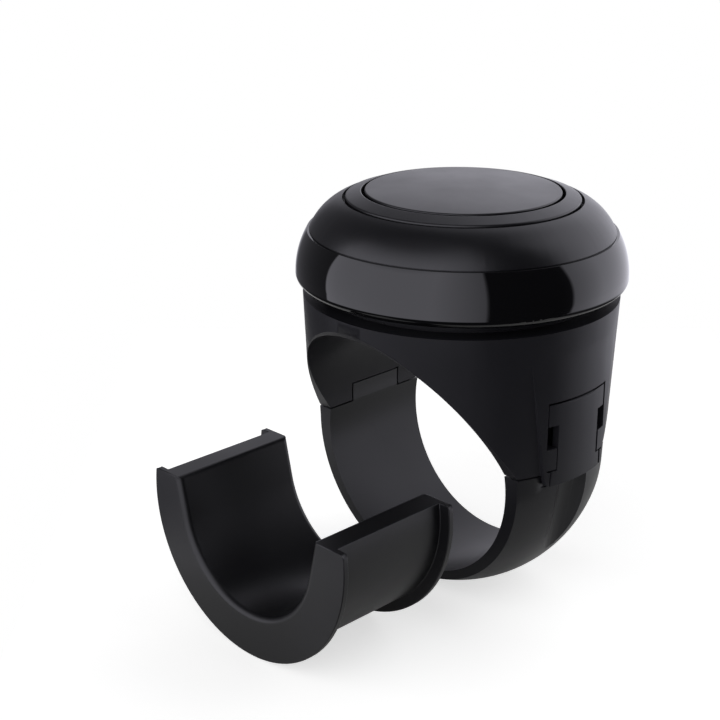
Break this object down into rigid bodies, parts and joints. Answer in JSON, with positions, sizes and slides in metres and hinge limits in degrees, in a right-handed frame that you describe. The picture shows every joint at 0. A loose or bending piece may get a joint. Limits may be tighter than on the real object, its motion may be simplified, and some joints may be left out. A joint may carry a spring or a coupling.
{
  "type": "steering wheel spinner knob",
  "caption": "Round spinner knob turning on a ball bearing, on a housing with a hinged strap and lever latch that clamps a steering wheel rim, with a loose U-shaped rim liner.",
  "frame": {"origin": "centre of the clamp bore, on the knob's spin axis", "axes": "+Z along the spin axis towards the knob's top, +Y along the clamp bore, +X towards the latch"},
  "size_m": [0.056, 0.075, 0.0703],
  "materials": {
    "housing_plastic": "satin moulded",
    "strap_plastic": "satin moulded",
    "lever_plastic": "satin moulded",
    "core_plastic": "moulded, glass filled",
    "satin_black": "satin",
    "gloss_black": "polished",
    "liner_rubber": "matte elastomer",
    "zinc_steel": "zinc plated",
    "turned_steel": "turned",
    "bearing_steel": "ground and polished",
    "cage_brass": "machined"
  },
  "bodies": {
    "base": {"base_housing": "housing_plastic", "spindle_plate": "zinc_steel", "plate_screws": "zinc_steel", "spindle": "turned_steel", "bearing_inner_race": "bearing_steel", "spindle_washer": "zinc_steel", "spindle_nut": "zinc_steel", "hinge_pin": "turned_steel", "lever_pin": "turned_steel", "rim_liner": "liner_rubber"},
    "cage": {"ball_cage": "cage_brass", "bearing_balls": "bearing_steel"},
    "knob": {"bearing_outer_race": "bearing_steel", "knob_core": "core_plastic", "bearing_retainer": "zinc_steel", "retainer_screws": "zinc_steel", "gloss_band": "gloss_black", "cap_shell": "satin_black", "inlay_ring": "satin_black", "top_disc": "satin_black"},
    "strap": {"clamp_strap": "strap_plastic", "latch_keeper": "zinc_steel"},
    "latch": {"latch_lever": "lever_plastic"}
  },
  "joints": [
    {"name": "knob_spin", "type": "hinge", "parent": "base", "child": "knob", "pos_m": [0, 0, 0.0354], "axis": [0, 0, 1], "continuous": true},
    {"name": "cage_spin", "type": "hinge", "parent": "base", "child": "cage", "pos_m": [0, 0, 0.0354], "axis": [0, 0, 1], "continuous": true},
    {"name": "strap_open", "type": "hinge", "parent": "base", "child": "strap", "pos_m": [-0.02305, 0, 0.006], "axis": [0, 1, 0], "range_deg": [0, 70]},
    {"name": "latch_open", "type": "hinge", "parent": "base", "child": "latch", "pos_m": [0.0242, 0, 0.0132], "axis": [0, -1, 0], "range_deg": [0, 60]}
  ],
  "couplings": [
    {"joint": "cage_spin", "follows": "knob_spin", "ratio": 0.619}
  ]
}
